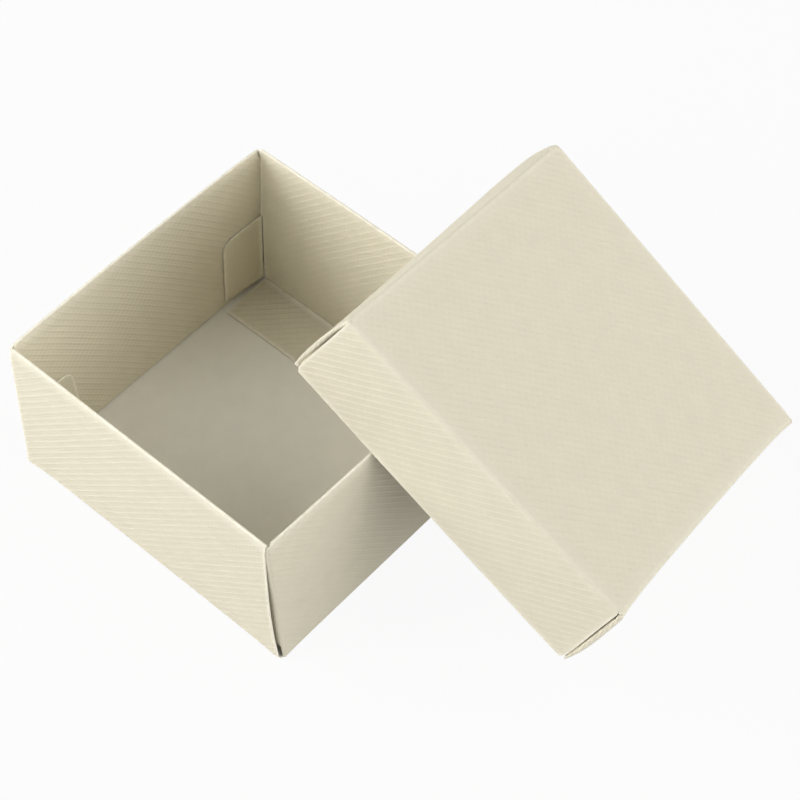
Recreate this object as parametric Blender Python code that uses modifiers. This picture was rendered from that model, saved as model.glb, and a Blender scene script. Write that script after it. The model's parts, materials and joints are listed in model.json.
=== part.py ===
"""Gift box with lid: a tray and a lid, each folded from one die-cut sheet of ivory board.

Both halves are made the same way. The two raw walls, front and back, are rolled over the rim and
down the inside, and end in a foot flap on the floor and an ear at each side. The two folded
walls, left and right, are doubled, and their corner flaps are tucked inside the raw walls.
Every panel between two creases is a solid of its own. The lid leans on the tray, open side down.
"""
import math
from dataclasses import dataclass

import bmesh
import bpy
from mathutils import Matrix, Vector

# Board and creases, in metres
BOARD = 0.0005
GAP = 0.0003
FOLD_RADIUS = 0.0009
RIM_RADIUS = 0.0006
CORNER_RADIUS = 0.0013
RAW_EDGE_INSET = 0.0015

# Tray
TRAY_SIDE = 0.120
TRAY_HEIGHT = 0.0692
TRAY_FOOT_SPREAD = 0.0017
TRAY_EAR_HEIGHT = 0.031

# Lid
LID_DEPTH = 0.0336
LID_CLEARANCE = 0.0003
LID_RIM_SPREAD = 0.0016
LID_TWIST = 0.0017
LID_EAR_HEIGHT = 0.018

# Ears, foot flaps and corner flaps, alike in both halves
EAR_LENGTH = 0.0195
EAR_ROUND = 0.0075
FOOT_FLAP_WIDTH = 0.0205
FOOT_FLAP_INSET = 0.0018
CORNER_FLAP_LENGTH = 0.022

# How the lid leans: its turn and two tilts in degrees, and the plan place of its top's centre
LID_TURN = -0.6
LID_TILT_SIDEWAYS = 25.6
LID_TILT_BACKWARDS = -15.5
LID_PLACE_SHARES = (0.7615, 0.4818)

# Facets
FOLD_STEPS = 3
ROUND_STEPS = 6
TWIST_STEPS = 8
REST_PASSES = 30

# Colours, linear
EMBOSSED_IVORY = (0.752, 0.701, 0.552, 1.0)
PLAIN_WHITE = (0.742, 0.715, 0.630, 1.0)
BOARD_ROUGHNESS = 0.62

# Thickness of the two kinds of wall, of board lying on board
LAYER = BOARD + GAP
FOLDED_WALL = LAYER + BOARD
RAW_WALL = LAYER + FOLDED_WALL
LID_SIDE = TRAY_SIDE + 2 * (RAW_WALL + LID_CLEARANCE)


@dataclass
class Half:
    """One folded sheet, open side up, with its origin under the centre of its floor."""
    name: str
    floor_name: str
    side: float
    height: float
    foot_spread: float
    rim_spread: float
    twist: float
    ear_height: float
    floor_colour: tuple
    y_names: dict
    parent: object = None

    @property
    def reach(self):
        return self.side / 2

    @property
    def crease_height(self):
        """Height of the creases just under the rim."""
        return self.height - LAYER

    def spread(self, height):
        """How far a folded wall stands out past the square of the sheet."""
        share = height / self.height
        return self.foot_spread * (1 - share) + self.rim_spread * share

    def twisted(self, point):
        """Warp of the whole half: two opposite corners down, the other two up."""
        lift = self.twist * point.x * point.y / self.reach ** 2
        return Vector((point.x, point.y, point.z - lift))


def board_material(name, colour):
    material = bpy.data.materials.new(name)
    material.use_nodes = True
    shader = material.node_tree.nodes["Principled BSDF"]
    shader.inputs["Base Color"].default_value = colour
    shader.inputs["Roughness"].default_value = BOARD_ROUGHNESS
    shader.inputs["Metallic"].default_value = 0.0
    return material


def panel(half, name, across, along, place, outside, pivot=None, parent=None, colour=EMBOSSED_IVORY):
    """A sheet of board whose outer face is place(a, b) over the values in across and along."""
    pivot = pivot or Vector()
    parent = parent or half.parent
    bm = bmesh.new()
    columns = len(across) - 1
    rows = len(along) - 1
    bmesh.ops.create_grid(bm, x_segments=columns, y_segments=rows, size=1)
    for vertex in bm.verts:
        column = round((vertex.co.x + 1) / 2 * columns)
        row = round((vertex.co.y + 1) / 2 * rows)
        point = half.twisted(place(across[column], along[row]))
        vertex.co = point - pivot
    bm.normal_update()
    facing = sum((face.normal * face.calc_area() for face in bm.faces), Vector())
    if facing.dot(outside) < 0:
        bmesh.ops.reverse_faces(bm, faces=bm.faces)
    mesh = bpy.data.meshes.new(half.name + "_" + name)
    bm.to_mesh(mesh)
    bm.free()
    obj = bpy.data.objects.new(mesh.name, mesh)
    mesh.materials.append(board_material(mesh.name, colour))
    collection.objects.link(obj)
    obj.parent = parent
    obj.location = pivot - Vector(parent.get("pivot", (0, 0, 0)))
    obj["pivot"] = pivot
    solid = obj.modifiers.new("board thickness", "SOLIDIFY")
    solid.thickness = BOARD
    solid.offset = -1
    solid.use_even_offset = True
    return obj


def arc(centre, radius, start, end, steps):
    """Points of an arc in a plane, angles in degrees."""
    points = []
    for step in range(steps + 1):
        angle = math.radians(start + (end - start) * step / steps)
        points.append((centre[0] + radius * math.cos(angle), centre[1] + radius * math.sin(angle)))
    return points


def spaced(low, high, steps):
    return [low + (high - low) * step / steps for step in range(steps + 1)]


def wall_profile(half, thickness):
    """Inset and height along a wall: the floor crease, the wall, and the rim over its thickness."""
    foot = arc((FOLD_RADIUS, FOLD_RADIUS), FOLD_RADIUS, 270, 180, FOLD_STEPS)
    rim_centre = (RIM_RADIUS, half.height - RIM_RADIUS)
    rim = arc(rim_centre, RIM_RADIUS, 180, 90, FOLD_STEPS)
    return foot + rim + [(thickness, half.height)]


def floor(half):
    reach_x = half.reach + half.spread(0) - FOLD_RADIUS - GAP
    reach_y = half.reach - FOLD_RADIUS - GAP
    steps = TWIST_STEPS if half.twist else 1

    def place(x, y):
        return Vector((x, y, 0))

    panel(half, half.floor_name, spaced(-reach_x, reach_x, steps), spaced(-reach_y, reach_y, steps),
          place, Vector((0, 0, -1)), colour=half.floor_colour)


def raw_wall(half, side):
    """Front or back outer wall: its cut edges stop short of the corners."""
    def place(share, profile):
        inset, height = profile
        reach = half.reach + half.spread(height) - RAW_EDGE_INSET
        return Vector((share * reach, side * (half.reach - inset), height))

    panel(half, half.y_names[side] + "_wall", [-1, 1], wall_profile(half, RAW_WALL), place,
          Vector((0, side, 0)))


def folded_wall(half, side):
    """Left or right outer wall: it ends where the corner creases begin."""
    end = half.reach - LAYER - CORNER_RADIUS - GAP

    def place(y, profile):
        inset, height = profile
        return Vector((side * (half.reach + half.spread(height) - inset), y, height))

    panel(half, X_NAMES[side] + "_wall", [-end, end], wall_profile(half, FOLDED_WALL), place,
          Vector((side, 0, 0)))


def corner_flap(half, side_x, side_y):
    """The crease round a corner and the flap behind the raw wall's edge."""
    face = half.reach - LAYER
    crease_centre = (half.reach - CORNER_RADIUS, face - CORNER_RADIUS)
    outline = arc(crease_centre, CORNER_RADIUS, 0, 90, FOLD_STEPS)
    outline.append((crease_centre[0] - CORNER_FLAP_LENGTH, face))

    def place(point, height):
        x, y = point
        return Vector((side_x * (x + half.spread(height)), side_y * y, height))

    panel(half, half.y_names[side_y] + "_" + X_NAMES[side_x] + "_flap", outline,
          [FOLD_RADIUS + GAP, half.crease_height], place, Vector((side_x, side_y, 0)))


def folded_inner_wall(half, side):
    """The inside layer of the left or right wall: upright, whatever the outside does."""
    end = half.reach - RAW_WALL - GAP

    def place(y, height):
        lean = half.rim_spread * height / half.height
        return Vector((side * (half.reach - LAYER + lean), y, height))

    panel(half, X_NAMES[side] + "_inner", [-end, end], [LAYER, half.crease_height], place,
          Vector((side, 0, 0)))


def raw_inner_wall(half, side):
    """The inside layer of the front or back wall, which rolls in about the rim."""
    end = half.reach - FOLDED_WALL - GAP
    outer = side * (half.reach - RAW_WALL + BOARD)
    pivot = Vector((0, side * (half.reach - RAW_WALL), half.crease_height))

    def place(x, height):
        return Vector((x, outer, height))

    return panel(half, half.y_names[side] + "_inner", [-end, end], [LAYER, half.crease_height],
                 place, Vector((0, side, 0)), pivot)


def foot_flap(half, side, inner_wall):
    """The strip on the floor at the foot of a raw inner wall."""
    end = half.reach - RAW_WALL - FOOT_FLAP_INSET
    crease = half.reach - RAW_WALL - GAP
    low = LAYER
    pivot = Vector((0, side * crease, low + BOARD))
    steps = TWIST_STEPS if half.twist else 1

    def place(x, y):
        return Vector((x, side * y, low))

    panel(half, half.y_names[side] + "_foot", spaced(-end, end, steps),
          spaced(crease, crease - FOOT_FLAP_WIDTH, steps), place, Vector((0, 0, -1)), pivot,
          inner_wall)


def ear(half, side_x, side_y, inner_wall):
    """A tab on the end of a raw inner wall, lying on the folded inner wall."""
    outer = side_x * (half.reach - RAW_WALL + BOARD)
    crease = half.reach - RAW_WALL - GAP
    low = LAYER + LAYER
    top = low + half.ear_height
    straight = EAR_LENGTH - EAR_ROUND
    lengths = [0.0] + [straight + x for x, _ in arc((0, 0), EAR_ROUND, 90, 0, ROUND_STEPS)]
    pivot = Vector((side_x * (half.reach - RAW_WALL), side_y * crease, low))

    def place(length, share):
        past = max(0.0, length - straight)
        drop = EAR_ROUND - math.sqrt(max(0.0, EAR_ROUND ** 2 - past ** 2))
        height = low + share * (top - drop - low)
        return Vector((outer, side_y * (crease - length), height))

    panel(half, half.y_names[side_y] + "_" + X_NAMES[side_x] + "_ear", lengths, [0, 1], place,
          Vector((side_x, 0, 0)), pivot, inner_wall)


def fold_half(half):
    """All nineteen panels of the tray or the lid."""
    half.parent = bpy.data.objects.new(half.name, None)
    collection.objects.link(half.parent)
    floor(half)
    for side in (-1, 1):
        raw_wall(half, side)
        folded_wall(half, side)
        folded_inner_wall(half, side)
        inner_wall = raw_inner_wall(half, side)
        foot_flap(half, side, inner_wall)
        for side_x in (-1, 1):
            corner_flap(half, side_x, side)
            ear(half, side_x, side, inner_wall)


def crossing(start, end, axis, value):
    """The point where the line from start to end meets the plane axis = value."""
    share = (value - start[axis]) / (end[axis] - start[axis])
    return start.lerp(end, share)


def rest_lid(tray, lid):
    """Where the lid comes to rest: on the tray's right and back rims and on one low corner."""
    turns = [(LID_TURN, "Z"), (LID_TILT_SIDEWAYS, "Y"), (LID_TILT_BACKWARDS, "X"), (180, "X")]
    pose = Matrix()
    for angle, axis in turns:
        pose = pose @ Matrix.Rotation(math.radians(angle), 4, axis)
    place = [share * tray.side for share in LID_PLACE_SHARES]
    pose = Matrix.Translation((place[0], place[1], tray.height)) @ pose

    rim_left = -(lid.reach + lid.rim_spread - FOLDED_WALL)
    rim_front = lid.reach - RAW_WALL
    corners = {
        "left_front": (rim_left, rim_front),
        "left_back": (rim_left, -rim_front),
        "right_front": (-rim_left, rim_front),
        "low": (lid.reach + lid.rim_spread, -lid.reach),
    }
    local = {key: lid.twisted(Vector((*xy, lid.height))) for key, xy in corners.items()}
    rest_height = tray.height + GAP
    for _ in range(REST_PASSES):
        rim = {key: pose @ point for key, point in local.items()}
        on_right = crossing(rim["left_front"], rim["right_front"], 0, tray.reach)
        on_back = crossing(rim["left_front"], rim["left_back"], 1, tray.reach)
        contacts = [(on_right, rest_height), (on_back, rest_height), (rim["low"], 0)]
        plane = Matrix([(1, point.x, point.y) for point, _ in contacts])
        rise = plane.inverted() @ Vector([height - point.z for point, height in contacts])
        centre = Vector((pose.translation.x, pose.translation.y, 0))
        shift = Vector((0, 0, rise[0] + rise[1] * centre.x + rise[2] * centre.y))
        turn = Matrix.Rotation(rise[2], 4, "X") @ Matrix.Rotation(-rise[1], 4, "Y")
        about = Matrix.Translation(pose.translation)
        pose = Matrix.Translation(shift) @ about @ turn @ about.inverted() @ pose
    return pose


for old in list(bpy.data.objects):
    bpy.data.objects.remove(old, do_unlink=True)

X_NAMES = {-1: "left", 1: "right"}

collection = bpy.data.collections.new("gift_box_with_lid")
bpy.context.scene.collection.children.link(collection)

TRAY = Half("tray", "floor", TRAY_SIDE, TRAY_HEIGHT, TRAY_FOOT_SPREAD, 0.0, 0.0, TRAY_EAR_HEIGHT,
            PLAIN_WHITE, {-1: "front", 1: "back"})
LID = Half("lid", "top", LID_SIDE, LID_DEPTH, 0.0, LID_RIM_SPREAD, LID_TWIST, LID_EAR_HEIGHT,
           EMBOSSED_IVORY, {-1: "back", 1: "front"})
fold_half(TRAY)
fold_half(LID)
LID.parent.matrix_world = rest_lid(TRAY, LID)
bpy.context.view_layer.update()
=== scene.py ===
"""Looks of the gift box with lid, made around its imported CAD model.

The tray and the lid are two folded sheets of ivory board with a fine diamond embossing on the
printed side. Every panel is a thin sheet that follows the folds: front and back walls are rolled
over the rim and down the inside, left and right walls are doubled, and their corner flaps wrap
round the corners behind the cut edges of the front and back walls. A half's own axes have their
origin under the centre of its floor, with Z towards its open side. Lengths are in metres.
"""

import json
import math
from dataclasses import dataclass

import bmesh
import bpy
from mathutils import Matrix, Vector


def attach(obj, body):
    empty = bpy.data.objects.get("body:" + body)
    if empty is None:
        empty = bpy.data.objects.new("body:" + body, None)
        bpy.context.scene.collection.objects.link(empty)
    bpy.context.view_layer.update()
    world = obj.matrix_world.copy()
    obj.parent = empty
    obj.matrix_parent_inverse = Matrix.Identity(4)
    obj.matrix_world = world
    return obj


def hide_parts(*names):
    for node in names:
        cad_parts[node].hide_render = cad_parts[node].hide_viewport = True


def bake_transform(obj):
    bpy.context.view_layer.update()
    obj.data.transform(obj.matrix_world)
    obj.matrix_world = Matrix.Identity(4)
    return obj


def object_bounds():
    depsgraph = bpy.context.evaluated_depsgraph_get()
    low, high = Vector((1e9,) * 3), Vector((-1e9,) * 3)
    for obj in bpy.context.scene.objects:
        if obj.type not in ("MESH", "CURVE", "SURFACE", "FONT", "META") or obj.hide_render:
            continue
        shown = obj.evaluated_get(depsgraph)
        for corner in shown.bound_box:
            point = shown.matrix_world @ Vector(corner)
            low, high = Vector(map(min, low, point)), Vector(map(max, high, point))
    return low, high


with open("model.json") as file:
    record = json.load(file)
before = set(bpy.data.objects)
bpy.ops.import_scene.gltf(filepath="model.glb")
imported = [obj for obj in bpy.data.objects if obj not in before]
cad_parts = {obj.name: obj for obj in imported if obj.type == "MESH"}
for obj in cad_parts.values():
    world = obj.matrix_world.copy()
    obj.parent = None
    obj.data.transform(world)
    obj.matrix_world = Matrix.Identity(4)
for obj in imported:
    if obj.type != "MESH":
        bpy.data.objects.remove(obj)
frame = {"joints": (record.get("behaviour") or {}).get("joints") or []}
cad_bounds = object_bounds()

MM = 0.001

# Board and creases, as in the CAD, except that ears are rounded less and the tray's are taller
BOARD = 0.5 * MM
GAP = 0.3 * MM
FOLD_RADIUS = 0.9 * MM
TRAY_SIDE = 120.0 * MM
TRAY_HEIGHT = 69.2 * MM
LID_DEPTH = 33.6 * MM
LID_CLEARANCE = 0.3 * MM
LID_TWIST = 1.7 * MM
EAR_LENGTH = 19.5 * MM
EAR_ROUND = 4.6 * MM
TRAY_EAR_HEIGHT = 33.3 * MM
LID_EAR_HEIGHT = 18.0 * MM
CORNER_FLAP_LENGTH = 22.0 * MM
LAYER = BOARD + GAP
FOLDED_WALL = LAYER + BOARD
RAW_WALL = LAYER + FOLDED_WALL
LID_SIDE = TRAY_SIDE + 2 * (RAW_WALL + LID_CLEARANCE)

# The rolled rims are tighter than the walls below them
RIM_HALF = 0.57 * MM
FOLDED_RIM_DROP = 0.25 * MM
INNER_FOOT_HEIGHT = 1.0 * MM
RAW_FOOT_HEIGHT = 1.95 * MM
EAR_LIFT = 1.6 * MM

# Facets, and the width of the column of cells at each end of a sheet
FOLD_STEPS = 5
RIM_STEPS = 10
WALL_STEPS = 14
LONG_STEPS = 24
CORNER_STEPS = 8
ROUND_STEPS = 14
EDGE_COLUMN = 1.0 * MM


@dataclass(frozen=True)
class Wall:
    """How one wall stands, in millimetres past the plane of its side.

    The table's columns are the wall's low end, its middle and its high end, along the half's own
    X or Y. In each, the figures go up the wall: foot, lower third, upper third and rim. inner_foot
    is how far in the inner layer's foot lies. Pairs of values are for the low and the high end:
    corner_flare bends the wall outwards beside a corner, and corner_foot does so at its foot.

    A front or back wall ends in cut edges. low_edge and high_edge say, up the wall, how far they
    reach past the corner, foot_flares how much further they reach at the foot, foot_rounds how
    large a round takes off their lowest point, and rim_notches how far the rim is cut back, or
    stands out where a value is below zero.
    """
    low_end: tuple
    middle: tuple
    high_end: tuple
    inner_foot: float
    corner_flare: tuple = (0.0, 0.0)
    low_edge: tuple = (0.0, 0.0, 0.0, 0.0)
    high_edge: tuple = (0.0, 0.0, 0.0, 0.0)
    foot_rounds: tuple = (1.8, 1.8)
    foot_flares: tuple = (1.3, 1.3)
    rim_notches: tuple = (0.0, 0.0)
    corner_foot: tuple = (0.0, 0.0)


@dataclass(frozen=True)
class Half:
    """One folded sheet.

    slit is the width between a cut edge and the fold behind it, and flap_inset how deep a corner
    flap lies behind a front or back wall. foot_dip draws the corner folds in at the foot, and
    corner_drop lowers them at the rim. notch_ratio is the height of a rim notch for its width. A
    corner fold turns by fold_turn degrees: in one bend, or in two bends of the radius strip_fold
    with a flat strip between them, where that isn't zero.
    """
    name: str
    floor_name: str
    side: float
    height: float
    twist: float
    ear_height: float
    slit: float
    flap_inset: float
    foot_dip: float
    corner_drop: float
    notch_ratio: float
    fold_turn: float
    strip_fold: float
    y_names: dict
    walls: dict
    place: Matrix

    @property
    def reach(self):
        return self.side / 2

    def world(self, x, y, height):
        """A point of the half's own axes, warped with the half and put in the frame."""
        lift = self.twist * x * y / self.reach ** 2
        return self.place @ Vector((x, y, height - lift))


X_NAMES = {-1: "left", 1: "right"}
# Beside a corner: the flare's width and its shares up the wall, and how far the foot's bends reach
FLARE_WIDTH = 7.0 * MM
FLARE_UP_THE_WALL = (0.35, 0.80, 1.0, 0.65)
FOOT_FLARE_HEIGHT = 10.0 * MM
CORNER_FOOT_HEIGHT = 8.0 * MM
CORNER_FOOT_WIDTH = 5.0 * MM


def cubic(values, share):
    """A smooth curve through four values at 0, 1/3, 2/3 and 1."""
    last = len(values) - 1
    total = 0.0
    for index, value in enumerate(values):
        weight = 1.0
        for other in range(len(values)):
            if other != index:
                weight *= (last * share - other) / (index - other)
        total += weight * value
    return total


def stands_out(half, wall, along, height):
    """How far a wall's outer face stands past its plane."""
    share = min(1.0, max(0.0, height / half.height))
    low, middle, high = (cubic(column, share) for column in (wall.low_end, wall.middle, wall.high_end))
    at = along / half.reach
    total = middle + (high - low) / 2 * at + ((high + low) / 2 - middle) * at * at
    near_floor = max(0.0, 1 - height / CORNER_FOOT_HEIGHT) ** 2
    for sign, flare, foot in zip((-1, 1), wall.corner_flare, wall.corner_foot):
        away = max(0.0, half.reach - sign * along)
        total += flare * cubic(FLARE_UP_THE_WALL, share) * math.exp(-away / FLARE_WIDTH)
        total += foot * near_floor * math.exp(-away / CORNER_FOOT_WIDTH)
    return total * MM


def arc(centre, radius, start, end, steps):
    """Points of an arc in a plane, angles in degrees."""
    points = []
    for step in range(steps + 1):
        angle = math.radians(start + (end - start) * step / steps)
        points.append((centre[0] + radius * math.cos(angle), centre[1] + radius * math.sin(angle)))
    return points


def spaced(low, high, steps):
    return [low + (high - low) * step / steps for step in range(steps + 1)]


def edged(reach):
    """Shares from -1 to 1 of a sheet's reach, with a narrow column at each end."""
    edge = EDGE_COLUMN / reach
    return [-1, -1 + edge] + spaced(-1 + 2 * edge, 1 - 2 * edge, LONG_STEPS) + [1 - edge, 1]


def board_sheet(name, columns, rows, place, unfold, outside, near_fold, kept=None):
    """A sheet of board. Its printed face is place(column, row), with its thickness behind it.

    unfold gives the same point on the flat sheet, for the embossing, and near_fold how close it
    is to a crease or a cut edge, from 0 to 1. outside is the way that the printed face looks in
    the first row, halfway along it. kept says which cells of the grid there are.
    """
    bm = bmesh.new()
    flat_sheet = bm.loops.layers.uv.new("flat_sheet")
    # The near_fold mask, which sets rubbed wear with a painted highlight, and flattens the embossing
    wear_and_highlight_share = bm.verts.layers.float.new("near_fold")
    flat = {}
    grid = {}
    cells = {}
    for i, column in enumerate(columns):
        for j, row in enumerate(rows):
            vertex = bm.verts.new(place(column, row))
            vertex[wear_and_highlight_share] = near_fold(column, row)
            flat[vertex] = unfold(column, row)
            grid[i, j] = vertex
    for i in range(len(columns) - 1):
        for j in range(len(rows) - 1):
            if kept is None or kept(i, j):
                corners = (grid[i, j], grid[i + 1, j], grid[i + 1, j + 1], grid[i, j + 1])
                cells[i, j] = bm.faces.new(corners)
    for vertex in [v for v in bm.verts if not v.link_faces]:
        del flat[vertex]
        bm.verts.remove(vertex)
    bm.normal_update()
    if cells[len(columns) // 2, 0].normal.dot(outside) < 0:
        bmesh.ops.reverse_faces(bm, faces=bm.faces)
        bm.normal_update()
    printed = list(bm.faces)
    open_edges = [edge for edge in bm.edges if edge.is_boundary]
    behind = {}
    for vertex in list(bm.verts):
        back = bm.verts.new(vertex.co - vertex.normal * BOARD)
        back[wear_and_highlight_share] = vertex[wear_and_highlight_share]
        flat[back] = flat[vertex]
        behind[vertex] = back
    for face in printed:
        plain = bm.faces.new([behind[v] for v in reversed(face.verts)])
        plain.material_index = PLAIN_SLOT
    for edge in open_edges:
        loop = edge.link_loops[0]
        a = loop.vert
        b = loop.link_loop_next.vert
        cut = bm.faces.new((b, a, behind[a], behind[b]))
        cut.material_index = CUT_SLOT
    for face in bm.faces:
        face.smooth = True
        for loop in face.loops:
            loop[flat_sheet].uv = flat[loop.vert]
    mesh = bpy.data.meshes.new(name)
    bm.to_mesh(mesh)
    bm.free()
    mesh.set_sharp_from_angle(angle=math.radians(SHARP_DEGREES))
    for material in (EMBOSSED, PLAIN, CUT_EDGE):
        mesh.materials.append(material)
    obj = bpy.data.objects.new(name, mesh)
    bpy.context.scene.collection.objects.link(obj)
    return obj


# Places of the two other materials after the printed face's
PLAIN_SLOT = 1
CUT_SLOT = 2
SHARP_DEGREES = 50
# Rubbed wear along creases, rims and cut edges, with a painted highlight in the same mask: widths, and
# the share at a crease
FOLD_WEAR_AND_HIGHLIGHT_WIDTH = 1.1 * MM
EDGE_WEAR_AND_HIGHLIGHT_WIDTH = 0.7 * MM
CREASE_WEAR_AND_HIGHLIGHT = 0.35
# Ways to look in a wall's profile, in degrees
INWARDS = 0
OUTWARDS = 180
DOWNWARDS = 270


def wear_and_highlight(*distances):
    """How much wear and painted highlight a point has from the nearest of some folds or edges, each
    (distance, width).
    """
    return max(math.exp(-(distance / width) ** 2) for distance, width in distances)


def wall_profile(half, rim_drop, inner_foot, foot_height=INNER_FOOT_HEIGHT, breaks=()):
    """Rows of a doubled wall: its part, inset, height and length along the sheet.

    breaks are heights at which the inner layer has a row of its own, for a step in its edge.
    """
    top = half.height - rim_drop
    points = []
    for inset, height in arc((FOLD_RADIUS, FOLD_RADIUS), FOLD_RADIUS, DOWNWARDS, OUTWARDS, FOLD_STEPS):
        points.append(("foot", inset, height))
    for height in spaced(FOLD_RADIUS, top - RIM_HALF, WALL_STEPS)[1:]:
        points.append(("wall", 0.0, height))
    for inset, height in arc((RIM_HALF, top - RIM_HALF), RIM_HALF, OUTWARDS, INWARDS, RIM_STEPS)[1:]:
        points.append(("rim", inset, height))
    heights = spaced(top - RIM_HALF, foot_height, WALL_STEPS)[1:] + list(breaks)
    for height in sorted(heights, reverse=True):
        points.append(("inner", inner_inset(half, inner_foot, height), height))
    rows = []
    length = 0.0
    for index, (part, inset, height) in enumerate(points):
        if index:
            _, last_inset, last_height = points[index - 1]
            length += math.hypot(inset - last_inset, height - last_height)
        rows.append((part, inset, height, length))
    return rows


def inner_inset(half, inner_foot, height):
    """Inset of the inner layer's printed face, which leans in from the rim to the foot."""
    top = half.height - RIM_HALF
    share = (top - height) / (top - INNER_FOOT_HEIGHT)
    return 2 * RIM_HALF + (inner_foot * MM - 2 * RIM_HALF) * share


def inner_face(half, wall, along, height):
    """Where the printed face of a wall's inner layer lies, from the middle of the half."""
    shift = stands_out(half, wall, along, half.height) * height / half.height
    return half.reach + shift - inner_inset(half, wall.inner_foot, height)


def doubled_outward(half, wall, along, row):
    """Where a row of a doubled wall lies, outwards from the plane of its side."""
    part, inset, height, _ = row
    if part == "inner":
        return inner_face(half, wall, along, height) - half.reach
    return stands_out(half, wall, along, height) - inset


def rim_length(rows):
    """Length along the sheet at which the crest of the rim lies."""
    rims = [length for part, _, _, length in rows if part == "rim"]
    return (rims[0] + rims[-1]) / 2


def rounded_corner(u, v):
    """Draws the corner of a square, where u and v are both near 1, in to a round one."""
    start = 1 - FLOOR_CORNER_SHARE
    a = (abs(u) - start) / FLOOR_CORNER_SHARE
    b = (abs(v) - start) / FLOOR_CORNER_SHARE
    if a <= 0 or b <= 0:
        return u, v
    round_a = start + FLOOR_CORNER_SHARE * a * math.sqrt(1 - b * b / 2)
    round_b = start + FLOOR_CORNER_SHARE * b * math.sqrt(1 - a * a / 2)
    return math.copysign(round_a, u), math.copysign(round_b, v)


FLOOR_CORNER_SHARE = 0.02
FLOOR_CORNER_STEPS = 4


def make_floor(half):
    """The floor of the tray, or the top of the lid."""
    left, right = half.walls["left"], half.walls["right"]
    front, back = half.walls[half.y_names[-1]], half.walls[half.y_names[1]]

    def place(u, v):
        a, b = rounded_corner(u, v)
        y = b * half.reach
        low = -(half.reach + stands_out(half, left, y, 0) - FOLD_RADIUS)
        high = half.reach + stands_out(half, right, y, 0) - FOLD_RADIUS
        x = a * half.reach
        near = -(half.reach + stands_out(half, front, x, 0) - FOLD_RADIUS)
        far = half.reach + stands_out(half, back, x, 0) - FOLD_RADIUS
        return half.world(low + (high - low) * (a + 1) / 2, near + (far - near) * (b + 1) / 2, 0)

    def unfold(u, v):
        return u * half.reach, v * half.reach

    # Wear and painted highlight along the floor's creases
    def near_fold(u, v):
        return CREASE_WEAR_AND_HIGHLIGHT * wear_and_highlight(((1 - abs(u)) * half.reach, FOLD_WEAR_AND_HIGHLIGHT_WIDTH),
                                  ((1 - abs(v)) * half.reach, FOLD_WEAR_AND_HIGHLIGHT_WIDTH))

    start = 1 - FLOOR_CORNER_SHARE
    corner = spaced(start, 1, FLOOR_CORNER_STEPS)
    shares = [-share for share in reversed(corner)] + spaced(-start, start, LONG_STEPS)[1:-1] + corner
    outside = half.world(0, 0, -1) - half.world(0, 0, 0)
    sheet = board_sheet(f"{half.name}_{half.floor_name}_sheet", shares, shares, place, unfold,
                        outside, near_fold)
    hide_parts(f"{half.name}_{half.floor_name}")
    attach(sheet, half.name)
    return sheet


# Corner folds: radii of the tightest, of the one at the foot and of the largest
TIGHTEST_FOLD = 0.3 * MM
FOOT_FOLD = 1.05 * MM
FOOT_FOLD_HEIGHT = 4.0 * MM
LARGEST_FOLD = 2.0 * MM
FOOT_DIP_HEIGHT = 3.5 * MM
CORNER_DROP_HEIGHT = 6.0 * MM
# The first of two bends, in degrees, and the strip beyond it
STRIP_ANGLES = (22.5, 45.0, 67.5, 90.0)
SECOND_BEND_STEPS = 3
LEAST_STRIP = 0.05 * MM
# Corner flaps, and the narrow stub of the tray's that goes up to the rim
FLAP_SLACK = 1.05 * MM
FLAP_LEAST_INSET = 0.52 * MM
FLAP_SHARE = 0.85
FLAP_COLUMN_SHARES = [0.33, 0.66, 1.0]
FLAP_HEIGHT_SHARE = 0.92
STUB_SHARE = 0.12
# Ends of a folded wall's rim and of its inner layer
LIP = 0.5 * MM
LIP_FADE = 3.0 * MM
RIM_END_INSET = 2.4 * MM
INNER_END_INSET = 0.9 * MM


def corner_fold(half, side, end, height):
    """The fold in which a left or right wall turns behind a cut edge.

    It gives the centre and radius of the fold, and the length of the flat strip beside the slit,
    which a half with a strip_fold has between two tight folds.
    """
    raw = half.walls[half.y_names[end]]
    wall_face = half.reach + stands_out(half, half.walls[X_NAMES[side]], end * half.reach, height)
    room = wall_face - cut_edge(half, raw, side, height) - half.slit
    turned = 1 - math.cos(math.radians(half.fold_turn))
    low = min(1.0, max(0.0, 1 - (height - FOLD_RADIUS) / FOOT_FOLD_HEIGHT))
    tightest = TIGHTEST_FOLD + (FOOT_FOLD - TIGHTEST_FOLD) * low
    if half.strip_fold:
        radius = max(half.strip_fold, tightest)
        strip = max(LEAST_STRIP, room - radius * turned)
        outermost = half.reach + stands_out(half, raw, side * half.reach, height)
        outermost -= half.foot_dip * max(0.0, 1 - height / FOOT_DIP_HEIGHT)
    else:
        largest = FOOT_FOLD + (LARGEST_FOLD - FOOT_FOLD) * (1 - low)
        radius = max(tightest, min(room, largest))
        strip = 0.0
        outermost = flap_face(half, raw, side * half.reach, height)
    return wall_face - radius, outermost - radius, radius, strip


def flap_face(half, raw, x, height):
    """Where a corner flap's printed face lies, between the layers of a front or back wall."""
    outer = half.reach + stands_out(half, raw, x, height)
    deep = max(outer - half.flap_inset, inner_face(half, raw, x, height) + FLAP_SLACK)
    return min(outer - FLAP_LEAST_INSET, deep)


def lip(half, height):
    """How far the end of a folded wall's inner layer bends into the box, above the ears."""
    above_ears = (height - EAR_LIFT - half.ear_height - GROOVE_END) / LIP_FADE
    below_rim = (half.height - RIM_HALF - height) / LIP_FADE
    return LIP * min(1.0, max(0.0, above_ears), max(0.0, below_rim))


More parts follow.
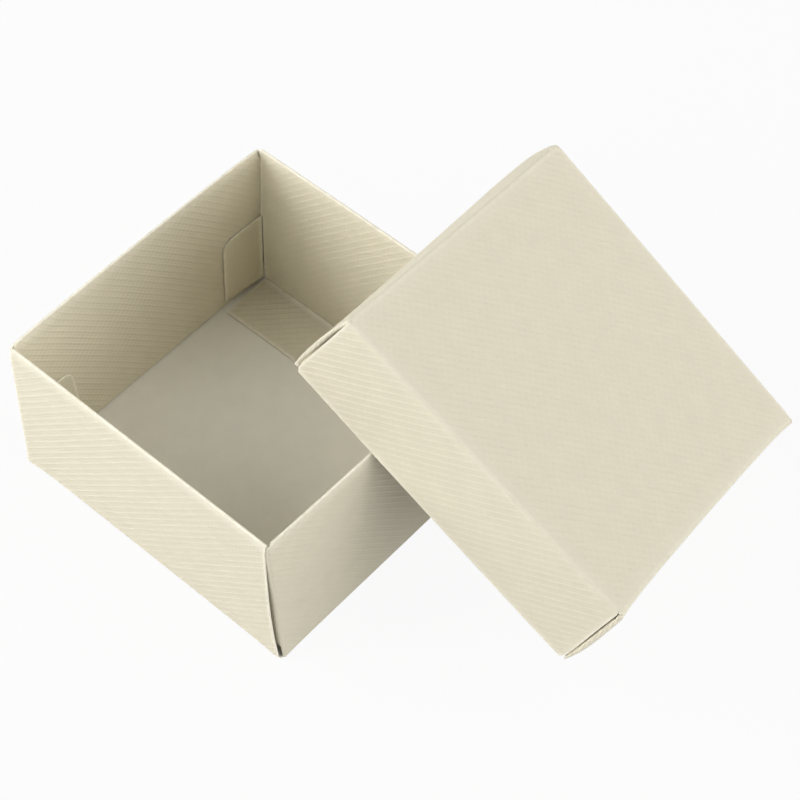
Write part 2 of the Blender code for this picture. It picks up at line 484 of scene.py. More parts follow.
def make_folded_wall(half, side):
    """A left or right wall: doubled over its rim, and wrapped round both corners."""
    name = X_NAMES[side]
    wall = half.walls[name]
    rows = wall_profile(half, FOLDED_RIM_DROP, wall.inner_foot)
    turned = math.radians(half.fold_turn)

    # Columns: kind, turn in degrees or share of the length, whether past the strip, and end
    if half.strip_fold:
        second_bend = spaced(STRIP_ANGLES[-1], half.fold_turn, SECOND_BEND_STEPS)
        turns = [(angle, 0.0) for angle in STRIP_ANGLES] + [(angle, 1.0) for angle in second_bend]
    else:
        turns = [(half.fold_turn * step / CORNER_STEPS, 0.0) for step in range(1, CORNER_STEPS + 1)]
    one_end = [("corner", angle, past) for angle, past in turns]
    first_flap = [0.0] if half.strip_fold else [STUB_SHARE]
    one_end += [("flap", share, 1.0) for share in first_flap + FLAP_COLUMN_SHARES]
    edge = EDGE_COLUMN / half.reach
    columns = [(*column, -1) for column in reversed(one_end)]
    columns += [("middle", share, 0.0, 0) for share in edged(half.reach)]
    columns += [(*column, 1) for column in one_end]

    def span(end, row):
        """Where the straight stretch of a row ends."""
        part, _, height, _ = row
        raw = half.walls[half.y_names[end]]
        if part in ("foot", "wall"):
            return corner_fold(half, side, end, height)[1]
        rim = half.reach + stands_out(half, raw, side * half.reach, half.height)
        if part == "rim":
            return rim - RIM_END_INSET
        return min(rim - INNER_END_INSET, inner_face(half, raw, side * half.reach, height) + BOARD)

    def place(column, row):
        kind, at, past, end = column
        part, inset, height, _ = row
        if kind == "middle":
            low, high = -span(-1, row), span(1, row)
            y = low + (high - low) * (at + 1) / 2
            x = half.reach + doubled_outward(half, wall, y, row)
            if part == "inner":
                x -= lip(half, height) * max(0.0, 1 - (1 - abs(at)) / edge)
            return half.world(side * x, y, height)
        x, y, radius, strip = corner_fold(half, side, end, height)
        if part == "foot":
            radius -= inset
        angle = math.radians(at) if kind == "corner" else turned
        x += radius * math.cos(angle) - strip * past
        y += radius * math.sin(angle)
        if kind == "flap":
            face = flap_face(half, half.walls[half.y_names[end]], side * half.reach, height)
            slope = max(0.0, y - face) / -math.cos(turned) if half.strip_fold else 0.0
            x -= slope * math.sin(turned) + at * FLAP_SHARE * CORNER_FLAP_LENGTH
            y = face
        near_rim = max(0.0, 1 - (half.height - height) / CORNER_DROP_HEIGHT)
        round_it = at / half.fold_turn if kind == "corner" else 1.0
        return half.world(side * x, end * y, height - half.corner_drop * round_it * near_rim ** 2)

    def unfold(column, row):
        kind, at, past, end = column
        if kind == "middle":
            return side * (half.reach + row[3]), at * half.reach
        turned_share = at / half.fold_turn if kind == "corner" else 1.0
        along = FOLD_UNROLLED * turned_share + STRIP_UNROLLED * past
        if kind == "flap":
            along += at * CORNER_FLAP_LENGTH
        return side * (half.reach + row[3]), end * (half.reach + along)

    crest = rim_length(rows)

    # Painted highlight with wear at full strength along the rim's crest, and at a crease's share along
    # the foot and the lid's strip fold
    def near_fold(column, row):
        kind, at, _, _ = column
        creases = [(row[3], FOLD_WEAR_AND_HIGHLIGHT_WIDTH)]
        if kind == "corner" and half.strip_fold:
            creases.append((math.radians(at - STRIP_ANGLES[1]) * half.strip_fold, half.strip_fold / 2))
        return max(wear_and_highlight((row[3] - crest, FOLD_WEAR_AND_HIGHLIGHT_WIDTH)), CREASE_WEAR_AND_HIGHLIGHT * wear_and_highlight(*creases))

    def kept(i, j):
        kinds = {columns[i][0], columns[i + 1][0]}
        parts = {rows[j][0], rows[j + 1][0]}
        if kinds == {"middle"}:
            return True
        if parts - {"foot", "wall"}:
            return False
        if "flap" in kinds:
            farthest = max(column[1] for column in columns[i:i + 2] if column[0] == "flap")
            whole = farthest <= STUB_SHARE and not half.strip_fold
            return parts == {"wall"} and (whole or rows[j + 1][2] < FLAP_HEIGHT_SHARE * half.height)
        return True

    outside = half.world(0, 0, -1) - half.world(0, 0, 0)
    sheet = board_sheet(f"{half.name}_{name}_sheet", columns, rows, place, unfold, outside,
                        near_fold, kept)
    flap_nodes = [f"{half.name}_{y_name}_{name}_flap" for y_name in half.y_names.values()]
    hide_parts(f"{half.name}_{name}_wall", f"{half.name}_{name}_inner", *flap_nodes)
    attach(sheet, half.name)
    return sheet


# Length of board in a corner fold, and in the strip between two bends
FOLD_UNROLLED = 2.4 * MM
STRIP_UNROLLED = 1.5 * MM


def cut_edge(half, wall, end, height):
    """How far the cut edge of a front or back wall lies from the middle of the wall."""
    share = min(1.0, max(0.0, height / half.height))
    which = 0 if end < 0 else 1
    edge = cubic((wall.low_edge, wall.high_edge)[which], share)
    low = max(0.0, 1 - height / FOOT_FLARE_HEIGHT)
    edge += wall.foot_flares[which] * low * low
    lowest = max(0.0, 1 - height / (wall.foot_rounds[which] * MM))
    edge -= wall.foot_rounds[which] * (1 - math.sqrt(1 - lowest * lowest))
    notch = wall.rim_notches[which]
    if notch:
        near_rim = max(0.0, 1 - (half.height - height) / (half.notch_ratio * abs(notch) * MM))
        edge -= notch * near_rim * near_rim
    return half.reach + edge * MM


def ear_groove(half):
    """Heights just above and below the top of the ears, where a raw inner layer is cut back."""
    top = EAR_LIFT + half.ear_height
    return top + GROOVE_END / 2, top - GROOVE_END / 2


def ear_bow(height):
    """How far an ear stands off the folded wall at its crease, near the floor."""
    return EAR_BOW * max(0.0, 1 - height / EAR_BOW_HEIGHT)


def raw_inner_reach(half, side_x, side_y, height):
    """How far the inner layer of a front or back wall reaches towards the folded wall's."""
    face = inner_face(half, half.walls[X_NAMES[side_x]], side_y * half.reach, height)
    if height <= ear_groove(half)[1]:
        return face - EDGE_GAP - EAR_GROOVE - ear_bow(height)
    return face - EDGE_GAP - lip(half, height)


def make_raw_wall(half, side):
    """A front or back wall, rolled over its rim and down the inside, with its cut edges."""
    y_name = half.y_names[side]
    wall = half.walls[y_name]
    under_rim = (half.height - RIM_HALF - RIM_STEP,)
    rows = wall_profile(half, 0.0, wall.inner_foot, RAW_FOOT_HEIGHT, ear_groove(half) + under_rim)
    crest = rim_length(rows)
    shares = edged(half.reach)

    def reach_at(share, row):
        part, _, height, _ = row
        end = -1 if share < 0 else 1
        if part == "inner":
            return raw_inner_reach(half, end, side, height)
        return cut_edge(half, wall, end, height)

    def place(share, row):
        x = share * reach_at(share, row)
        outward = doubled_outward(half, wall, x, row)
        return half.world(x, side * (half.reach + outward), row[2])

    def unfold(share, row):
        return share * reach_at(share, row), side * (half.reach + row[3])

    # Painted highlight with wear at full strength along the rim's crest and the cut edges, and at a
    # crease's share along the foot
    def near_fold(share, row):
        rubbed_and_lit = wear_and_highlight((row[3] - crest, FOLD_WEAR_AND_HIGHLIGHT_WIDTH),
                      ((1 - abs(share)) * half.reach, EDGE_WEAR_AND_HIGHLIGHT_WIDTH))
        return max(rubbed_and_lit, CREASE_WEAR_AND_HIGHLIGHT * wear_and_highlight((row[3], FOLD_WEAR_AND_HIGHLIGHT_WIDTH)))

    outside = half.world(0, 0, -1) - half.world(0, 0, 0)
    sheet = board_sheet(f"{half.name}_{y_name}_sheet", shares, rows, place, unfold, outside,
                        near_fold)
    inner = f"{half.name}_{y_name}_inner"
    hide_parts(f"{half.name}_{y_name}_wall", inner)
    start = half.world(0, side * (half.reach - ROLL_START), half.height)
    end = half.world(0, side * (half.reach - ROLL_END), half.height)
    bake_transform(sheet)
    return sheet


# Ends of a front or back wall's inner layer, cut back further beside the ears
EDGE_GAP = 0.15 * MM
EAR_GROOVE = 1.55 * MM
GROOVE_END = 0.4 * MM
RIM_STEP = 0.4 * MM
# Insets of two points across a rolled rim, from the plane of its side
ROLL_START = 0.45 * MM
ROLL_END = 0.95 * MM
# Ears: the rise of their lower edge, their bow near the floor, and rows below their upper edge
EAR_TAPER = 2.6 * MM
EAR_BOW = 0.65 * MM
EAR_BOW_HEIGHT = 25.0 * MM
EDGE_ROWS = (1.2 * MM, 0.8 * MM, 0.4 * MM)
# Foot flaps: width, inset of their ends, and the slope at which these draw in
FOOT_FLAP_WIDTH = 21.3 * MM
FOOT_FLAP_INSET = 4.3 * MM
FOOT_FLAP_TAPER = 0.032
# A crease stands up as a ridge: millimetres across it, and up from the panel
CREASE_RIDGE = ((-0.7, -0.1), (-0.35, 0.15), (0.0, 0.25), (0.35, 0.1), (0.7, 0.0))
# Widths beside the crease of a foot flap and of an ear
CREASE_TURN = 1.35 * MM
EAR_TURN = 10.0 * MM


def inner_length(half, wall, height):
    """Length along the sheet at which the inner layer of a wall reaches a height."""
    rows = [row for row in wall_profile(half, 0.0, wall.inner_foot) if row[0] == "inner"]
    top, foot = rows[0], rows[-1]
    share = (top[2] - height) / (top[2] - foot[2])
    return top[3] + (foot[3] - top[3]) * share


def make_foot_flap(half, side):
    """The strip on the floor, bent in from the foot of a front or back wall."""
    y_name = half.y_names[side]
    wall = half.walls[y_name]
    reach = half.reach - FOOT_FLAP_INSET
    face = LAYER + BOARD
    start_length = inner_length(half, wall, RAW_FOOT_HEIGHT)
    rows = [(across * MM, face + lift * MM) for across, lift in CREASE_RIDGE]
    rows += [(across, face) for across in spaced(rows[-1][0], FOOT_FLAP_WIDTH, WALL_STEPS)[1:]]

    def crease(x):
        return inner_face(half, wall, x, RAW_FOOT_HEIGHT)

    def place(share, row):
        across, height = row
        x = share * (reach - FOOT_FLAP_TAPER * across)
        return half.world(x, side * (crease(x) - across), height)

    def unfold(share, row):
        return share * reach, side * (half.reach + start_length + row[0])

    # Wear and painted highlight along the flap's crease and cut edges
    def near_fold(share, row):
        return wear_and_highlight((row[0], FOLD_WEAR_AND_HIGHLIGHT_WIDTH), ((1 - abs(share)) * reach, EDGE_WEAR_AND_HIGHLIGHT_WIDTH),
                    (FOOT_FLAP_WIDTH - row[0], EDGE_WEAR_AND_HIGHLIGHT_WIDTH))

    outside = half.world(0, 0, 1) - half.world(0, 0, 0)
    sheet = board_sheet(f"{half.name}_{y_name}_foot_sheet", edged(reach), rows, place, unfold, outside,
                        near_fold)
    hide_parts(f"{half.name}_{y_name}_foot")
    start = half.world(0, side * crease(0), LAYER)
    end = half.world(0, side * (crease(0) - CREASE_TURN), LAYER)
    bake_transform(sheet)
    return sheet


def make_ear(half, side_x, side_y):
    """A tab on the end of a front or back wall's inner layer, lying on the folded wall."""
    y_name = half.y_names[side_y]
    x_name = X_NAMES[side_x]
    wall = half.walls[y_name]
    beside = half.walls[x_name]
    top = EAR_LIFT + half.ear_height
    straight = EAR_LENGTH - EAR_ROUND
    columns = [(across * MM, lift * MM, 0.0) for across, lift in CREASE_RIDGE]
    for length in spaced(columns[-1][0], straight, CORNER_STEPS)[1:]:
        columns.append((length, 0.0, 0.0))
    for step in range(1, ROUND_STEPS + 1):
        angle = math.pi / 2 * step / ROUND_STEPS
        drop = EAR_ROUND * (1 - math.cos(angle))
        columns.append((straight + EAR_ROUND * math.sin(angle), 0.0, drop))

    def height_at(column, share):
        foot = EAR_LIFT + EAR_TAPER * max(0.0, column[0]) / EAR_LENGTH
        return foot + share * (top - column[2] - foot)

    def place(column, share):
        length, lift, _ = column
        height = height_at(column, share)
        y = inner_face(half, wall, side_x * half.reach, height) - length
        bow = ear_bow(height) * (1 - max(0.0, length) / EAR_LENGTH)
        x = inner_face(half, beside, side_y * y, height) - BOARD - GAP - lift - bow
        return half.world(side_x * x, side_y * y, height)

    def unfold(column, share):
        along = half.reach - FOLDED_WALL - GAP + column[0]
        down = inner_length(half, wall, height_at(column, share))
        return side_x * along, side_y * (half.reach + down)

    # Wear and painted highlight along the ear's crease and cut edges, which draws its light outline
    def near_fold(column, share):
        height = height_at(column, share)
        return wear_and_highlight((column[0], FOLD_WEAR_AND_HIGHLIGHT_WIDTH), (top - column[2] - height, EDGE_WEAR_AND_HIGHLIGHT_WIDTH),
                    (EAR_LENGTH - column[0], EDGE_WEAR_AND_HIGHLIGHT_WIDTH))

    outside = half.world(-side_x, 0, 0) - half.world(0, 0, 0)
    name = f"{half.name}_{y_name}_{x_name}_ear"
    edges = [1 - near / half.ear_height for near in EDGE_ROWS]
    shares = spaced(0, edges[0], WALL_STEPS) + edges[1:] + [1.0]
    sheet = board_sheet(name + "_sheet", columns, shares, place, unfold, outside, near_fold)
    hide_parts(name)
    crease = inner_face(half, wall, side_x * half.reach, EAR_LIFT)
    start = half.world(0, side_y * crease, EAR_LIFT)
    end = half.world(0, side_y * (crease - EAR_TURN), EAR_LIFT)
    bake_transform(sheet)
    return sheet


def make_half(half):
    """All the sheets of the tray or the lid."""
    slots = {make_floor(half): "plain_board" if half.floor_name == "floor" else "embossed_board"}
    for side in (-1, 1):
        slots[make_folded_wall(half, side)] = "embossed_board"
        slots[make_raw_wall(half, side)] = "embossed_board"
        slots[make_foot_flap(half, side)] = "embossed_board"
        for side_x in (-1, 1):
            slots[make_ear(half, side_x, side)] = "embossed_board"


# Pitch along the sheet's X and Y. The ribs run diagonally, so they lie 2.41 mm apart
EMBOSSING_PITCH = 3.41 * MM
# Waves that are added to the ribs: along what, how many to a pitch, shift in radians, and height
EMBOSSING_WAVES = (("rib", 2.0, 0.6, 0.55), ("notch", 1.0, 0.0, 0.45), ("both", 1.0, 0.4, 0.30))
EMBOSSING_WOBBLE = 0.8
EMBOSSING_LOST_IN_FOLDS = 0.9
# Painted shade in the embossing's valleys: how it rises where the relief is low, and its share
VALLEY_SHADE_SLOPE = 0.35
VALLEY_PAINTED_SHADE = 0.13
EMBOSSED_IVORY = (0.720, 0.670, 0.525, 1.0)
PLAIN_WHITE = (0.880, 0.857, 0.775, 1.0)
CUT_CREAM = (0.920, 0.870, 0.740, 1.0)
# Colours of rubbed wear, which also paint the highlights on rims, folds and cut edges
WEAR_AND_HIGHLIGHT_IVORY = (0.92, 0.88, 0.75, 1.0)
WEAR_AND_HIGHLIGHT_WHITE = (0.82, 0.80, 0.72, 1.0)
WEAR_AND_HIGHLIGHT_CREAM = (0.94, 0.90, 0.79, 1.0)
FLOOR_PALE = (0.6, 0.6, 0.6, 1.0)
WHITE = (1.0, 1.0, 1.0, 1.0)
# Noises: features to a metre, detail and roughness
WOBBLE_NOISE = (60.0, 2.0, 0.5)
CLOUD_NOISE = (110.0, 4.0, 0.6)
FIBRE_NOISE = (5200.0, 3.0, 0.6)
PATCH_NOISE = (420.0, 5.0, 0.7)
NOISE_MIDDLE = 0.5
FIBRE_STRETCH = (1.0, 0.25, 1.0)
PATCH_CONTRAST = 2.2
PATCH_CUT = 0.35
SPECK_CONTRAST = 0.5
SPECK_CUT = 0.2
CLOUD_DARKEST = 0.93
CLOUD_LIGHTEST = 1.05
# How dark the painted shade in the embossing's valleys gets
VALLEY_SHADE_DARKEST = 0.8
CLOUD_ROUGHNESS = 0.12
WORN_ROUGHNESS = 0.15
BOARD_SPECULAR = 0.35
FIBRE_HEIGHT = 0.004 * MM
CUT_FIBRE_HEIGHT = 0.010 * MM
EMBOSSING_HEIGHT = 0.046 * MM


def new_group(name, inputs, outputs):
    """A shader node group with named sockets: {name: (socket type, default)}."""
    tree = bpy.data.node_groups.new(name, "ShaderNodeTree")
    for label, (kind, default) in inputs.items():
        socket = tree.interface.new_socket(label, in_out="INPUT", socket_type=kind)
        if default is not None:
            socket.default_value = default
    for label, kind in outputs.items():
        tree.interface.new_socket(label, in_out="OUTPUT", socket_type=kind)
    return tree, tree.nodes.new("NodeGroupInput").outputs, tree.nodes.new("NodeGroupOutput").inputs


def feed(tree, value, socket):
    """Puts a number, a colour or a link into a socket."""
    if isinstance(value, bpy.types.NodeSocket):
        tree.links.new(value, socket)
    elif value is not None:
        socket.default_value = value


def math_node(tree, operation, first, second=None, third=None, clamp=False):
    node = tree.nodes.new("ShaderNodeMath")
    node.operation = operation
    node.use_clamp = clamp
    for index, value in enumerate((first, second, third)):
        feed(tree, value, node.inputs[index])
    return node.outputs[0]


def mix_colour(tree, share, first, second):
    node = tree.nodes.new("ShaderNodeMix")
    node.data_type = "RGBA"
    feed(tree, share, node.inputs["Factor"])
    feed(tree, first, node.inputs["A"])
    feed(tree, second, node.inputs["B"])
    return node.outputs["Result"]


def noise(tree, vector, scale, detail, roughness):
    node = tree.nodes.new("ShaderNodeTexNoise")
    feed(tree, vector, node.inputs["Vector"])
    node.inputs["Scale"].default_value = scale
    node.inputs["Detail"].default_value = detail
    node.inputs["Roughness"].default_value = roughness
    return node.outputs["Fac"]


def wave(tree, phase, factor, shift=0.0):
    """The cosine of factor times a phase."""
    turned = math_node(tree, "MULTIPLY_ADD", phase, factor, shift)
    return math_node(tree, "COSINE", turned)


def embossing_group():
    """Fine diamond embossing: ribs along one diagonal, notched along the other, with a mask of painted
    shade in its valleys.
    """
    tree, given, out = new_group(
        "diamond embossing",
        {"Flat Sheet": ("NodeSocketVector", None), "Pitch": ("NodeSocketFloat", EMBOSSING_PITCH),
         "Flattened": ("NodeSocketFloat", 0.0)},
        {"Height": "NodeSocketFloat", "Valley Shade": "NodeSocketFloat"})
    wobble = noise(tree, given["Flat Sheet"], *WOBBLE_NOISE)
    split = tree.nodes.new("ShaderNodeSeparateXYZ")
    feed(tree, given["Flat Sheet"], split.inputs[0])
    turns = math_node(tree, "DIVIDE", 2 * math.pi, given["Pitch"])
    centred = math_node(tree, "SUBTRACT", wobble, NOISE_MIDDLE)
    uneven = math_node(tree, "MULTIPLY", centred, EMBOSSING_WOBBLE)
    total = math_node(tree, "ADD", split.outputs["X"], split.outputs["Y"])
    difference = math_node(tree, "SUBTRACT", split.outputs["X"], split.outputs["Y"])
    rib = math_node(tree, "MULTIPLY_ADD", total, turns, uneven)
    notch = math_node(tree, "MULTIPLY", difference, turns)
    phases = {"rib": rib, "notch": notch, "both": math_node(tree, "ADD", rib, notch)}
    height = wave(tree, rib, 1.0)
    for along, factor, shift, amount in EMBOSSING_WAVES:
        added = wave(tree, phases[along], factor, shift)
        height = math_node(tree, "MULTIPLY_ADD", added, amount, height)
    kept = math_node(tree, "MULTIPLY_ADD", given["Flattened"], -EMBOSSING_LOST_IN_FOLDS, 1.0)
    height = math_node(tree, "MULTIPLY", height, kept)
    feed(tree, height, out["Height"])
    valley_shade = math_node(tree, "MULTIPLY_ADD", height, -VALLEY_SHADE_SLOPE, VALLEY_SHADE_SLOPE, clamp=True)
    feed(tree, valley_shade, out["Valley Shade"])
    return tree


def fibre_group():
    """Cloudy tone and fine fibres of the board, over its flat sheet."""
    tree, given, out = new_group(
        "board fibres", {"Flat Sheet": ("NodeSocketVector", None)},
        {"Cloud": "NodeSocketFloat", "Fibre": "NodeSocketFloat"})
    feed(tree, noise(tree, given["Flat Sheet"], *CLOUD_NOISE), out["Cloud"])
    stretched = tree.nodes.new("ShaderNodeVectorMath")
    stretched.operation = "MULTIPLY"
    feed(tree, given["Flat Sheet"], stretched.inputs[0])
    stretched.inputs[1].default_value = FIBRE_STRETCH
    feed(tree, noise(tree, stretched.outputs[0], *FIBRE_NOISE), out["Fibre"])
    return tree


def wear_and_highlight_group():
    """Where creases, rims and cut edges are rubbed and carry a painted highlight, broken up by noise."""
    tree, given, out = new_group(
        "fold wear", {"Flat Sheet": ("NodeSocketVector", None),
                      "Near Fold": ("NodeSocketFloat", 0.0), "Amount": ("NodeSocketFloat", 0.5)},
        {"Worn": "NodeSocketFloat"})
    patches = noise(tree, given["Flat Sheet"], *PATCH_NOISE)
    broken = math_node(tree, "MULTIPLY_ADD", patches, PATCH_CONTRAST, -PATCH_CUT, clamp=True)
    wear_and_highlight_share = math_node(tree, "MULTIPLY", math_node(tree, "MULTIPLY", given["Near Fold"], broken),
                     given["Amount"])
    feed(tree, wear_and_highlight_share, out["Worn"])
    return tree


def shaded(colour, factor):
    """A colour made darker or lighter."""
    return tuple(min(1.0, channel * factor) for channel in colour[:3]) + (1.0,)


def board_material(name, colour, groups, embossing, fibre_height, roughness, wear_and_highlight_colour, wear_and_highlight_amount):
    """Board finish. embossing and fibre_height are the depths of the relief, in metres."""
    material = bpy.data.materials.new(name)
    material.use_nodes = True
    tree = material.node_tree
    shader = tree.nodes["Principled BSDF"]
    uv = tree.nodes.new("ShaderNodeUVMap")
    uv.uv_map = "flat_sheet"
    fold = tree.nodes.new("ShaderNodeAttribute")
    fold.attribute_name = "near_fold"

    def placed(group, **values):
        node = tree.nodes.new("ShaderNodeGroup")
        node.node_tree = groups[group]
        feed(tree, uv.outputs[0], node.inputs["Flat Sheet"])
        for label, value in values.items():
            feed(tree, value, node.inputs[label.replace("_", " ")])
        return node.outputs

    fibres = placed("fibres")
    wear_and_highlight_share = placed("wear_and_highlight", Near_Fold=fold.outputs["Fac"], Amount=wear_and_highlight_amount)["Worn"]
    darker = shaded(colour, CLOUD_DARKEST)
    tone = mix_colour(tree, fibres["Cloud"], darker, shaded(colour, CLOUD_LIGHTEST))
    speck = math_node(tree, "MULTIPLY_ADD", fibres["Fibre"], SPECK_CONTRAST, -SPECK_CUT, clamp=True)
    tone = mix_colour(tree, speck, tone, darker)
    height = math_node(tree, "MULTIPLY", fibres["Fibre"], fibre_height)
    if embossing:
        pattern = placed("embossing", Flattened=fold.outputs["Fac"])
        # Painted shade in the embossing's valleys
        shade = math_node(tree, "MULTIPLY", pattern["Valley Shade"], VALLEY_PAINTED_SHADE)
        tone = mix_colour(tree, shade, tone, shaded(colour, VALLEY_SHADE_DARKEST))
        height = math_node(tree, "MULTIPLY_ADD", pattern["Height"], embossing, height)
    # Rubbed wear and painted highlight along creases, rims and cut edges
    tone = mix_colour(tree, wear_and_highlight_share, tone, wear_and_highlight_colour)
    feed(tree, tone, shader.inputs["Base Color"])
    smoothest = roughness - CLOUD_ROUGHNESS / 2
    rough = math_node(tree, "MULTIPLY_ADD", fibres["Cloud"], CLOUD_ROUGHNESS, smoothest)
    rough = math_node(tree, "MULTIPLY_ADD", wear_and_highlight_share, WORN_ROUGHNESS, rough)
    feed(tree, rough, shader.inputs["Roughness"])
    shader.inputs["Specular IOR Level"].default_value = BOARD_SPECULAR
    bump = tree.nodes.new("ShaderNodeBump")
    bump.inputs["Strength"].default_value = 1.0
    bump.inputs["Distance"].default_value = 1.0
    feed(tree, height, bump.inputs["Height"])
    feed(tree, bump.outputs[0], shader.inputs["Normal"])
    return material


groups = {"embossing": embossing_group(), "fibres": fibre_group(), "wear_and_highlight": wear_and_highlight_group()}
EMBOSSED = board_material("embossed_board", EMBOSSED_IVORY, groups, EMBOSSING_HEIGHT, FIBRE_HEIGHT,
                          roughness=0.55, wear_and_highlight_colour=WEAR_AND_HIGHLIGHT_IVORY, wear_and_highlight_amount=1.0)
PLAIN = board_material("plain_board", PLAIN_WHITE, groups, 0.0, FIBRE_HEIGHT,
                       roughness=0.60, wear_and_highlight_colour=WEAR_AND_HIGHLIGHT_WHITE, wear_and_highlight_amount=0.4)
CUT_EDGE = board_material("cut_edge", CUT_CREAM, groups, 0.0, CUT_FIBRE_HEIGHT,
                          roughness=0.75, wear_and_highlight_colour=WEAR_AND_HIGHLIGHT_CREAM, wear_and_highlight_amount=0.5)


def lid_place():
    """The lid's own axes in the frame, from the joints of its four ears."""
    where = {joint["name"]: Vector(joint["pos_m"]) for joint in frame["joints"]
             if joint["name"].endswith("_ear_swing")}
    ears = {(x, y): where[f"lid_{y}_{x}_ear_swing"] for x in ("left", "right")
            for y in ("front", "back")}
    middle = sum(ears.values(), Vector()) / len(ears)
    across = (ears["right", "front"] + ears["right", "back"]
              - ears["left", "front"] - ears["left", "back"])
    along = (ears["left", "front"] + ears["right", "front"]
             - ears["left", "back"] - ears["right", "back"])
    x_axis = across.normalized()
    z_axis = x_axis.cross(along).normalized()
    y_axis = z_axis.cross(x_axis)
    axes = Matrix((x_axis, y_axis, z_axis)).transposed().to_4x4()
    return Matrix.Translation(middle - z_axis * EAR_LIFT) @ axes


TRAY_WALLS = {
    "left": Wall((1.6, 1.1, 0.3, -0.25), (1.6, 1.1, 0.6, 0.25), (1.6, 1.1, 0.4, -0.55),
                 inner_foot=2.0, corner_flare=(-0.5, -0.6)),
    "right": Wall((1.7, 0.75, -0.55, -0.8), (1.95, 1.0, 0.3, 0.0), (2.3, 0.9, -0.1, -0.4),
                  inner_foot=2.0, corner_foot=(0.5, 0.0)),
    "front": Wall((0.25, 0.2, 0.2, 0.2), (-0.15, 0.3, 0.3, 0.05), (-0.35, -0.1, -0.1, -0.1),
                  inner_foot=4.2, low_edge=(2.1, 1.4, 0.2, -1.0), high_edge=(0.0, -1.9, -2.4, -2.4),
                  foot_rounds=(2.4, 1.8), foot_flares=(0.3, 1.0), rim_notches=(1.4, -1.0),
                  corner_foot=(0.8, 0.5)),
    "back": Wall((0.0, 0.3, 0.5, 0.5), (0.0, 0.4, 0.7, 0.9), (0.0, 0.3, 0.5, 0.6),
                 inner_foot=4.2, low_edge=(0.5, -0.7, -1.28, -1.5), high_edge=(0.5, -0.7, -1.28, -1.5),
                 rim_notches=(1.3, 1.3)),
}
LID_WALLS = {
    "left": Wall((0.3, 3.4, 4.4, 3.9), (0.0, 2.0, 2.9, 2.75), (0.0, 1.35, 1.9, 1.5),
                 inner_foot=2.2, corner_flare=(-0.5, 0.3)),
    "right": Wall((1.0, 1.0, 0.8, 0.5), (0.05, -0.1, -0.3, -0.5), (0.3, 0.0, 0.0, 0.0),
                  inner_foot=2.2, corner_flare=(2.2, 2.65)),
    "front": Wall((0.0, 0.3, 0.5, 0.5), (0.0, 0.8, 1.2, 1.15), (0.0, 0.3, 0.8, 1.0),
                  inner_foot=3.2, low_edge=(-0.8, -0.45, -0.1, 0.26), high_edge=(-1.02, -0.4, 0.3, 0.95),
                  foot_rounds=(0.6, 0.6), foot_flares=(0.0, 0.0), rim_notches=(1.7, 1.7)),
    "back": Wall((0.0, 0.2, 0.3, 0.2), (0.0, 0.6, 0.8, 0.7), (0.0, 0.2, 0.3, 0.2),
                 inner_foot=3.2, low_edge=(-1.2, -0.9, -0.6, -0.4), high_edge=(-1.2, -0.9, -0.6, -0.4),
                 foot_rounds=(0.6, 0.6), foot_flares=(0.0, 0.0), rim_notches=(1.7, 1.7)),
}
TRAY = Half("tray", "floor", TRAY_SIDE, TRAY_HEIGHT, twist=0.0, ear_height=TRAY_EAR_HEIGHT,
            slit=0.60 * MM, flap_inset=1.7 * MM, foot_dip=0.0, corner_drop=0.8 * MM, notch_ratio=3.0,
            fold_turn=90.0, strip_fold=0.0,
            y_names={-1: "front", 1: "back"}, walls=TRAY_WALLS, place=Matrix())
LID = Half("lid", "top", LID_SIDE, LID_DEPTH, twist=LID_TWIST, ear_height=LID_EAR_HEIGHT,
           slit=0.80 * MM, flap_inset=3.0 * MM, foot_dip=0.25 * MM, corner_drop=2.0 * MM, notch_ratio=1.6,
           fold_turn=150.0, strip_fold=0.55 * MM,
           y_names={-1: "back", 1: "front"}, walls=LID_WALLS, place=lid_place())
make_half(TRAY)
make_half(LID)


CAMERA_PLACE = Vector((0.32938, -0.30809, 0.65790))
CAMERA_ELEVATION = 54.353
CAMERA_AZIMUTH = 41.004
CAMERA_LEVEL = 0.0061
SENSOR = 36.0
PHOTO_WIDTH = 800
FOCAL_PIXELS = 2212.2
FOCAL_LENGTH = FOCAL_PIXELS / PHOTO_WIDTH * SENSOR
CLIP_START = 10.0 * MM


def make_camera():
    elevation = math.radians(CAMERA_ELEVATION)
    azimuth = math.radians(CAMERA_AZIMUTH)
    forward = -Vector((math.sin(azimuth) * math.cos(elevation),
                       -math.cos(azimuth) * math.cos(elevation), math.sin(elevation)))
    level = forward.cross(Vector((0, 0, 1))).normalized()
    upright = level.cross(forward)
    roll = math.asin(CAMERA_LEVEL / upright.z)
    right = level * math.cos(roll) + upright * math.sin(roll)
    up = right.cross(forward)
    camera = bpy.data.objects.new("camera", bpy.data.cameras.new("camera"))
    camera.data.sensor_width = SENSOR
    camera.data.lens = FOCAL_LENGTH
    camera.data.clip_start = CLIP_START
    turned = Matrix((right, up, -forward)).transposed().to_4x4()
    camera.matrix_world = Matrix.Translation(CAMERA_PLACE) @ turned
    bpy.context.scene.collection.objects.link(camera)
    bpy.context.scene.camera = camera


def make_lamp(azimuth, elevation, irradiance, distance):
    """A soft round lamp at an azimuth and elevation in degrees, and a distance from the box."""
    name = f"soft_lamp_{azimuth}_{elevation}"
    lamp = bpy.data.lights.new(name, "AREA")
    lamp.shape = "DISK"
    lamp.size = 2 * distance * math.tan(math.radians(LAMP_SPREAD / 2))
    lamp.energy = irradiance * math.pi * (distance ** 2 + (lamp.size / 2) ** 2)
    obj = bpy.data.objects.new(name, lamp)
    obj.visible_camera = False
    around = math.radians(azimuth)
    above = math.radians(elevation)
    shines_from = Vector((math.sin(around) * math.cos(above), -math.cos(around) * math.cos(above),
                          math.sin(above)))
    obj.location = BOX_MIDDLE + shines_from * distance
    obj.rotation_euler = shines_from.to_track_quat("Z", "Y").to_euler()
    bpy.context.scene.collection.objects.link(obj)


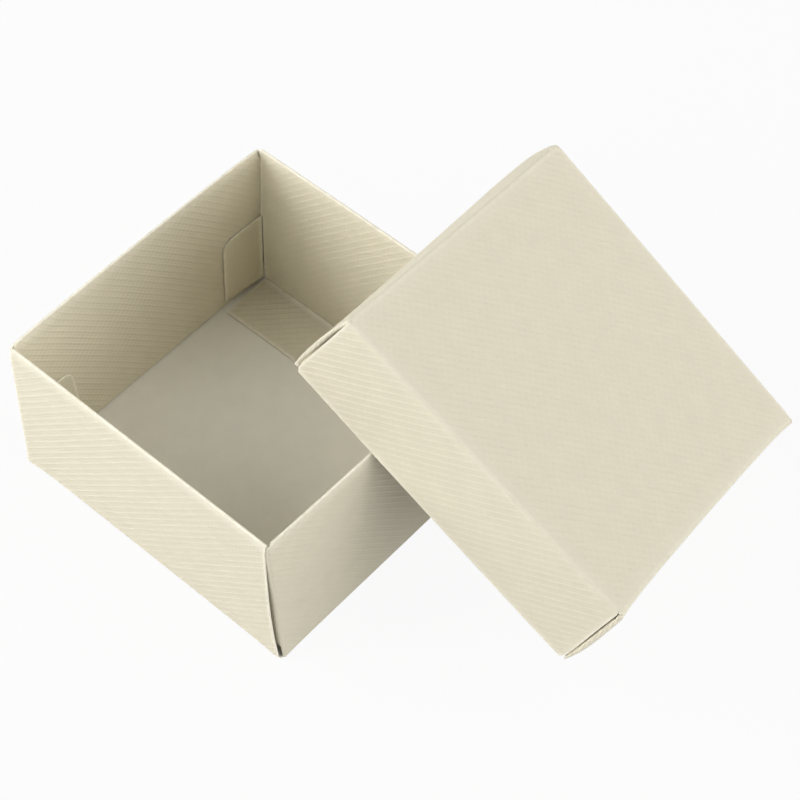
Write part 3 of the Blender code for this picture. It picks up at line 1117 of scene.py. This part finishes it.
def make_stage():
    """A pale floor that keeps a faint shadow, and a white world that shows only by itself or in gloss."""
    bm = bmesh.new()
    bmesh.ops.create_grid(bm, x_segments=FLOOR_SEGMENTS, y_segments=FLOOR_SEGMENTS, size=FLOOR_REACH)
    mesh = bpy.data.meshes.new("studio_floor")
    bm.to_mesh(mesh)
    bm.free()
    floor = bpy.data.objects.new("studio_floor", mesh)
    floor.location.z = -FLOOR_DROP
    bpy.context.scene.collection.objects.link(floor)
    material = bpy.data.materials.new("studio_floor")
    material.use_nodes = True
    tree = material.node_tree
    shader = tree.nodes["Principled BSDF"]
    shader.inputs["Base Color"].default_value = FLOOR_PALE
    shader.inputs["Roughness"].default_value = FLOOR_ROUGHNESS
    shader.inputs["Specular IOR Level"].default_value = 0.0
    bright = tree.nodes.new("ShaderNodeEmission")
    bright.inputs["Color"].default_value = WHITE
    mixed = tree.nodes.new("ShaderNodeMixShader")
    feed(tree, math_node(tree, "MULTIPLY", seen_directly(tree), FLOOR_GLOW), mixed.inputs[0])
    feed(tree, shader.outputs[0], mixed.inputs[1])
    feed(tree, bright.outputs[0], mixed.inputs[2])
    feed(tree, mixed.outputs[0], tree.nodes["Material Output"].inputs["Surface"])
    mesh.materials.append(material)

    world = bpy.data.worlds.new("white_world")
    world.use_nodes = True
    bpy.context.scene.world = world
    tree = world.node_tree
    background = tree.nodes["Background"]
    background.inputs["Color"].default_value = WHITE
    feed(tree, seen_directly(tree), background.inputs["Strength"])


def seen_directly(tree):
    """One for a ray from the camera, or by way of gloss or glass."""
    path = tree.nodes.new("ShaderNodeLightPath")
    glossy = math_node(tree, "MAXIMUM", path.outputs["Is Camera Ray"], path.outputs["Is Glossy Ray"])
    return math_node(tree, "MAXIMUM", glossy, path.outputs["Is Transmission Ray"])


FLOOR_REACH = 2.0
FLOOR_SEGMENTS = 8
FLOOR_ROUGHNESS = 0.9
FLOOR_DROP = 0.1 * MM
FLOOR_GLOW = 0.93
LAMP_SPREAD = 40
BOX_MIDDLE = (Vector(cad_bounds[0]) + Vector(cad_bounds[1])) / 2
NEAR = 1.3
FAR = 5.0
# Soft lamps round the box, six low and two high: azimuth, elevation, irradiance and distance.
# The strongest is near, on the camera's left
LAMPS = ((0, 20, 0.82, FAR), (90, 20, 1.40, FAR), (135, 20, 0.62, FAR), (180, 20, 0.80, FAR),
         (270, 20, 0.35, FAR), (315, 20, 1.88, NEAR), (135, 55, 0.62, FAR), (315, 55, 0.80, NEAR))
make_camera()
for lamp in LAMPS:
    make_lamp(*lamp)
make_stage()
bpy.context.scene.view_settings.view_transform = "Standard"
